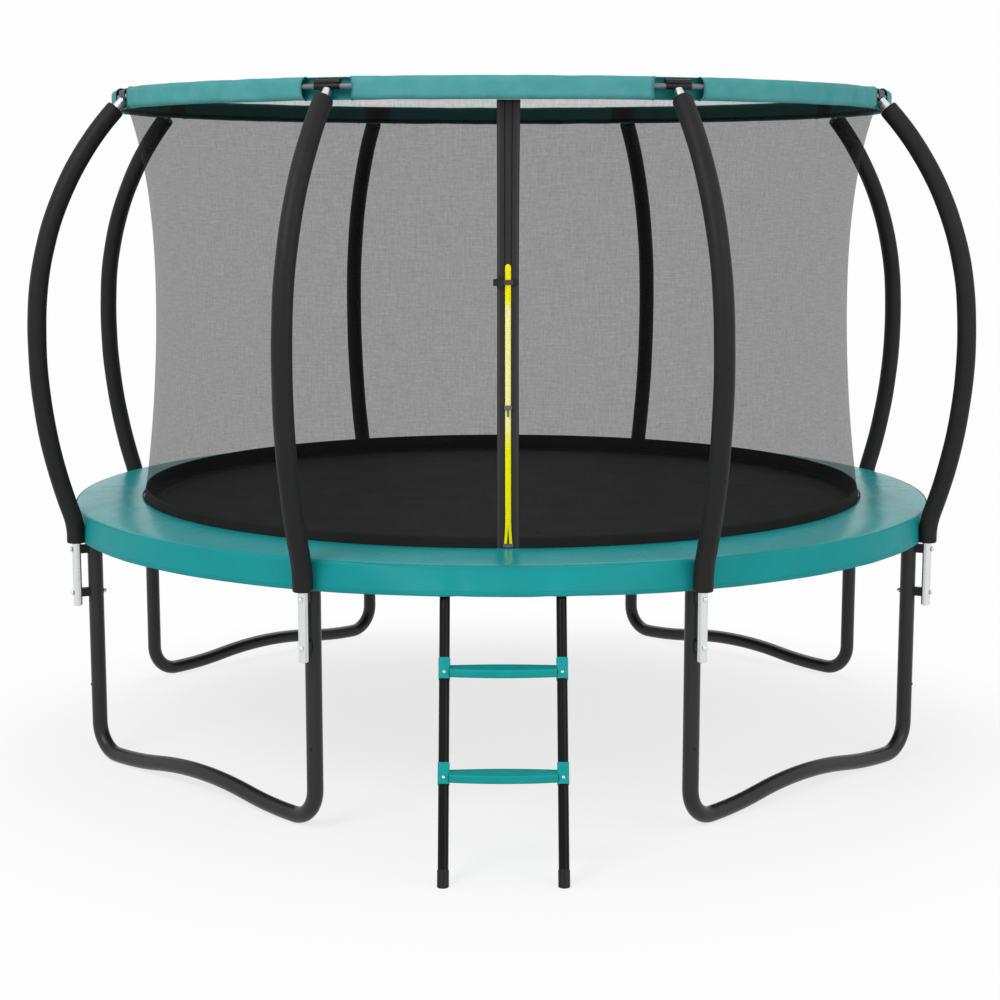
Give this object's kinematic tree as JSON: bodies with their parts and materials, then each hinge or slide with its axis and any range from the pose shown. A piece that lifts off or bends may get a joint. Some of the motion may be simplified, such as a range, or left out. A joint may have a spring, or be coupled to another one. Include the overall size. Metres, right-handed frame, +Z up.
{
  "type": "garden trampoline",
  "caption": "Round garden trampoline with a padded spring cover, a zipped safety net on curved foam-covered poles, bent tube legs and a hook-on ladder.",
  "frame": {"origin": "middle of the footprint on the floor, ladder included; the trampoline's own axis is 0.176 m further along +Y", "axes": "+X to the right as seen from the ladder side, +Y from the ladder towards the back, +Z up"},
  "size_m": [3.1492, 3.502, 2.2709],
  "materials": {
    "powder_black": "satin",
    "galvanised": "satin",
    "zinc": "bright",
    "foam_cover": "matte",
    "black_plastic": "matte",
    "rod_grey": "matte",
    "sleeve_fabric": "semi-gloss",
    "net_cloth": "matte",
    "strip_fabric": "matte",
    "zip_yellow": "matte",
    "grey_plastic": "semi-gloss",
    "mat_fabric": "matte",
    "pad_pvc": "gloss",
    "flap_pvc": "semi-gloss",
    "ladder_black": "gloss",
    "step_teal": "semi-gloss",
    "screw_white": "satin"
  },
  "bodies": {
    "frame": {"leg_base_1": "powder_black", "leg_base_2": "powder_black", "leg_base_3": "powder_black", "leg_base_4": "powder_black", "leg_upright_1": "powder_black", "leg_upright_2": "powder_black", "leg_upright_3": "powder_black", "leg_upright_4": "powder_black", "leg_upright_5": "powder_black", "leg_upright_6": "powder_black", "leg_upright_7": "powder_black", "leg_upright_8": "powder_black", "frame_rail_1": "galvanised", "frame_rail_2": "galvanised", "frame_rail_3": "galvanised", "frame_rail_4": "galvanised", "frame_rail_5": "galvanised", "frame_rail_6": "galvanised", "frame_rail_7": "galvanised", "frame_rail_8": "galvanised", "pole_1": "galvanised", "pole_2": "galvanised", "pole_3": "galvanised", "pole_4": "galvanised", "pole_5": "galvanised", "pole_6": "galvanised", "pole_7": "galvanised", "pole_8": "galvanised", "foam_sleeve_1": "foam_cover", "foam_sleeve_2": "foam_cover", "foam_sleeve_3": "foam_cover", "foam_sleeve_4": "foam_cover", "foam_sleeve_5": "foam_cover", "foam_sleeve_6": "foam_cover", "foam_sleeve_7": "foam_cover", "foam_sleeve_8": "foam_cover", "leg_buttons": "zinc", "pole_spacers": "black_plastic", "pole_bolts": "zinc", "pole_caps": "black_plastic", "ring_rods": "rod_grey", "ring_sleeve": "sleeve_fabric", "net": "net_cloth", "door_strip": "strip_fabric", "zip_tape": "zip_yellow", "zip_stop": "grey_plastic", "door_clip": "black_plastic", "springs": "zinc", "safety_pad": "pad_pvc", "front_flap": "flap_pvc"},
    "mat": {"jump_mat": "mat_fabric", "mat_rings": "zinc"},
    "ladder": {"ladder_rail_left": "ladder_black", "ladder_rail_right": "ladder_black", "ladder_step_upper": "step_teal", "ladder_step_lower": "step_teal", "ladder_feet": "black_plastic", "ladder_screws": "screw_white"},
    "zip_slider": {"zip_slider": "grey_plastic"},
    "clip_tongue": {"clip_tongue": "grey_plastic"}
  },
  "joints": [
    {"name": "mat_bounce", "type": "slide", "parent": "frame", "child": "mat", "axis": [0, 0, -1], "range_m": [0, 0.2], "stiffness_N_per_m": 3500, "springref_m": -0.08, "deforming": ["springs"]},
    {"name": "ladder_swing", "type": "hinge", "parent": "frame", "child": "ladder", "pos_m": [0, -1.31384, 0.798], "axis": [-1, 0, 0], "range_deg": [0, 45], "deforming": ["front_flap"]},
    {"name": "zip_travel", "type": "hinge", "parent": "frame", "child": "zip_slider", "pos_m": [0.07962, -6.0726, 1.6], "axis": [0.9999, 0.0127, 0], "range_deg": [-4.3, 3.9]},
    {"name": "clip_release", "type": "slide", "parent": "frame", "child": "clip_tongue", "axis": [0.9999, 0.0127, 0], "range_m": [0, 0.012]}
  ]
}
